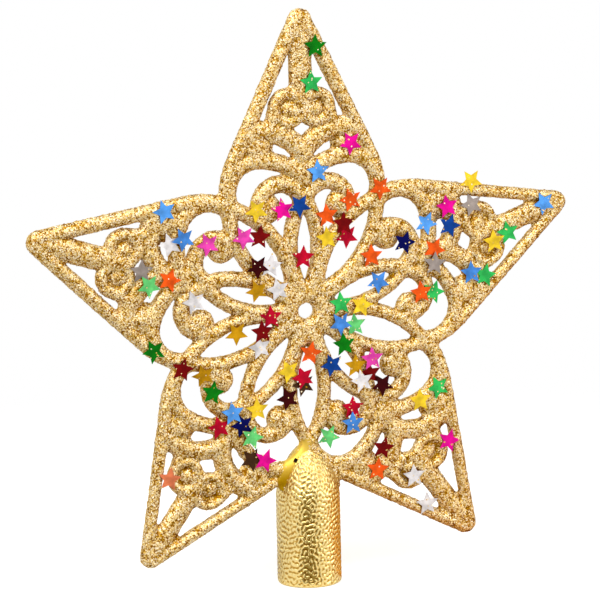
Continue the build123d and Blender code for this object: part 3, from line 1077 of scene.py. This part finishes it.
def foil(name, colour):
    """Coloured foil with faint streaks and worn spots."""
    finish = Finish("foil_" + name, metallic=0.7, specular_ior_level=0.15)
    cloud = finish.clouds(420.0, 2.0)
    dark = linear(tuple(part * 0.82 for part in colour))
    light = linear(tuple(min(1.0, part * 1.08 + 0.02) for part in colour))
    finish.drive("Base Color", finish.ramp(cloud, [(0.3, dark), (0.6, linear(colour)), (0.85, light)]))
    finish.drive("Roughness", 0.26 + 0.16 * cloud)
    finish.bump(finish.clouds(900.0, 2.0), 0.00008, 0.35)
    return finish.material


class TOPPER_OT_sequins(Operator):
    """Gives every sequin its coloured foil"""

    bl_idname = "topper.sequins"
    bl_label = "Sequins"

    def execute(self, context):
        settings = context.scene.topper_sequins
        for name in FOILS:
            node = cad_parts["sequins_" + name]
            node.data.materials.clear()
            node.data.materials.append(foil(name, getattr(settings, name)))
        return {"FINISHED"}


# Stage, lengths in metres and powers in watts
Lamp = namedtuple("Lamp", "name place width power")
KEY = Lamp("key", Vector((-0.55, -0.8, 1.25)), 1.4, 23.0)
FILL = Lamp("fill", Vector((0.9, -0.8, 0.5)), 0.8, 4.0)
LAMP_AIM = Vector((0, 0, 0.09))
WORLD_LIGHT = 0.42
WORLD_SEEN = 1.0
FLOOR_REACH = 4.0
FLOOR_GLOW = 0.55
FLOOR_FADE = (0.1, 0.3)
DARK = (0.20, 0.155, 0.04)
WARM = (0.70, 0.36, 0.07)


def soft_lamp(lamp):
    """A square soft lamp that faces the star."""
    light = bpy.data.lights.new(lamp.name, "AREA")
    light.size = lamp.width
    light.energy = lamp.power
    holder = bpy.data.objects.new(lamp.name, light)
    holder.location = lamp.place
    holder.rotation_euler = (LAMP_AIM - lamp.place).to_track_quat("-Z", "Y").to_euler()
    bpy.context.scene.collection.objects.link(holder)


def camera(settings):
    """The camera at the photograph's angle."""
    turn, rise = settings.azimuth, settings.elevation
    back = Vector((math.sin(turn) * math.cos(rise), -math.cos(turn) * math.cos(rise), math.sin(rise)))
    right = Vector((0, 0, 1)).cross(back).normalized()
    up = back.cross(right)
    pose = Matrix((right, up, back)).transposed() @ Matrix.Rotation(settings.roll, 3, "Z")
    data = bpy.data.cameras.new("camera")
    data.lens = settings.lens
    data.sensor_width = 36.0
    data.clip_start = 0.01
    holder = bpy.data.objects.new("camera", data)
    place = Vector(settings.target) + back * settings.distance
    holder.matrix_world = Matrix.Translation(place) @ pose.to_4x4()
    bpy.context.scene.collection.objects.link(holder)
    bpy.context.scene.camera = holder


def white_world():
    """White to the camera and in reflections, softer as a light."""
    world = bpy.data.worlds.new("white_room")
    world.use_nodes = True
    bpy.context.scene.world = world
    tree = world.node_tree
    background = tree.nodes["Background"]
    background.inputs["Color"].default_value = (1, 1, 1, 1)
    rays = tree.nodes.new("ShaderNodeLightPath")
    seen = tree.nodes.new("ShaderNodeMath")
    seen.operation = "ADD"
    tree.links.new(rays.outputs["Is Camera Ray"], seen.inputs[0])
    tree.links.new(rays.outputs["Is Transmission Ray"], seen.inputs[1])
    either = tree.nodes.new("ShaderNodeMath")
    either.operation = "ADD"
    either.use_clamp = True
    tree.links.new(seen.outputs[0], either.inputs[0])
    tree.links.new(rays.outputs["Is Glossy Ray"], either.inputs[1])
    strength = tree.nodes.new("ShaderNodeMapRange")
    strength.inputs["To Min"].default_value = WORLD_LIGHT
    strength.inputs["To Max"].default_value = WORLD_SEEN
    tree.links.new(either.outputs[0], strength.inputs["Value"])
    tree.links.new(strength.outputs[0], background.inputs["Strength"])


def floor():
    """A pale floor that keeps the topper's shadow."""
    bm = bmesh.new()
    bmesh.ops.create_grid(bm, x_segments=1, y_segments=1, size=FLOOR_REACH)
    finish = Finish("pale_floor", base_color=(0.8, 0.8, 0.8, 1.0), roughness=0.9)
    rays = finish.node("ShaderNodeLightPath", {}, {}, "Is Camera Ray")
    finish.drive("Emission Color", (1, 1, 1, 1))
    finish.drive("Emission Strength", rays * FLOOR_GLOW)
    sockets = {0: finish.coordinates()}
    reach = finish.node("ShaderNodeVectorMath", {"operation": "LENGTH"}, sockets, "Value")
    finish.drive("Alpha", 1 - rays * finish.spread(reach, *FLOOR_FADE))
    piece = new_piece("floor", mesh_from(bm, "floor"), finish.material)


def unseen(name, bm, colour):
    """Makes a piece of the stage that shows in reflections alone."""
    finish = Finish(name, base_color=(*colour, 1.0), roughness=0.9)
    card = new_piece(name, mesh_from(bm, name), finish.material)
    card.visible_camera = False
    card.visible_shadow = False
    card.visible_diffuse = False


def card(name, turn, distance, width, height, colour):
    """An upright card that stands off to one side."""
    bm = bmesh.new()
    facing = Matrix.Rotation(turn, 4, "Z") @ Matrix.Rotation(math.pi / 2, 4, "X")
    place = Vector((math.sin(turn) * distance, -math.cos(turn) * distance, height / 2))
    matrix = Matrix.Translation(place) @ facing @ Matrix.Diagonal((width / 2, height / 2, 1, 1))
    bmesh.ops.create_grid(bm, x_segments=1, y_segments=1, size=1.0, matrix=matrix)
    unseen(name, bm, colour)


def mat(name, turn, spread, near, far, colour):
    """A wedge on the floor that opens away from the topper."""
    bm = bmesh.new()
    corners = []
    for distance, side in ((near, -1), (near, 1), (far, 1), (far, -1)):
        bearing = turn + side * spread
        place = (math.sin(bearing) * distance, -math.cos(bearing) * distance, 1 * MM)
        corners.append(bm.verts.new(place))
    bm.faces.new(corners)
    unseen(name, bm, colour)


class TOPPER_OT_stage(Operator):
    """Sets the camera, the soft lamps, the pale floor and what tints the reflections"""

    bl_idname = "topper.stage"
    bl_label = "Stage"

    def execute(self, context):
        context.scene.view_settings.view_transform = "Standard"
        camera(context.scene.topper_stage)
        white_world()
        floor()
        soft_lamp(KEY)
        soft_lamp(FILL)
        front = context.scene.topper_stage.azimuth
        card("front_card", front, distance=1.2, width=0.95, height=0.3, colour=DARK)
        mat("front_mat", front, spread=math.radians(22), near=0.012, far=0.6, colour=DARK)
        side = math.radians(108)
        mat("side_mat", side, spread=math.radians(48), near=0.012, far=1.2, colour=WARM)
        return {"FINISHED"}


class TOPPER_PT_panel(Panel):
    """Shows the buttons that build the topper and the boxes of their settings"""

    bl_idname = "TOPPER_PT_panel"
    bl_label = "Star Topper"
    bl_space_type = "VIEW_3D"
    bl_region_type = "UI"
    bl_category = "Topper"

    def draw(self, context):
        for operator in OPERATORS:
            self.layout.operator(operator.bl_idname)
        for holder in SETTINGS:
            group = getattr(context.scene, holder)
            box = self.layout.box()
            box.label(text=type(group).__doc__)
            for label in group.__annotations__:
                box.prop(group, label)


SETTINGS = {
    "topper_star": StarSettings,
    "topper_glitter": GlitterSettings,
    "topper_socket": SocketSettings,
    "topper_sequins": SequinSettings,
    "topper_stage": StageSettings,
}
OPERATORS = (TOPPER_OT_star, TOPPER_OT_socket, TOPPER_OT_glitter, TOPPER_OT_sequins, TOPPER_OT_stage)
CLASSES = (*SETTINGS.values(), *OPERATORS, TOPPER_PT_panel)


def register():
    for made in CLASSES:
        bpy.utils.register_class(made)
    for holder, group in SETTINGS.items():
        setattr(bpy.types.Scene, holder, PointerProperty(type=group))


def unregister():
    for holder in SETTINGS:
        delattr(bpy.types.Scene, holder)
    for made in reversed(CLASSES):
        bpy.utils.unregister_class(made)


def main():
    register()
    bpy.ops.topper.star()
    bpy.ops.topper.socket()
    bpy.ops.topper.glitter()
    bpy.ops.topper.sequins()
    bpy.ops.topper.stage()


if __name__ == "__main__":
    main()
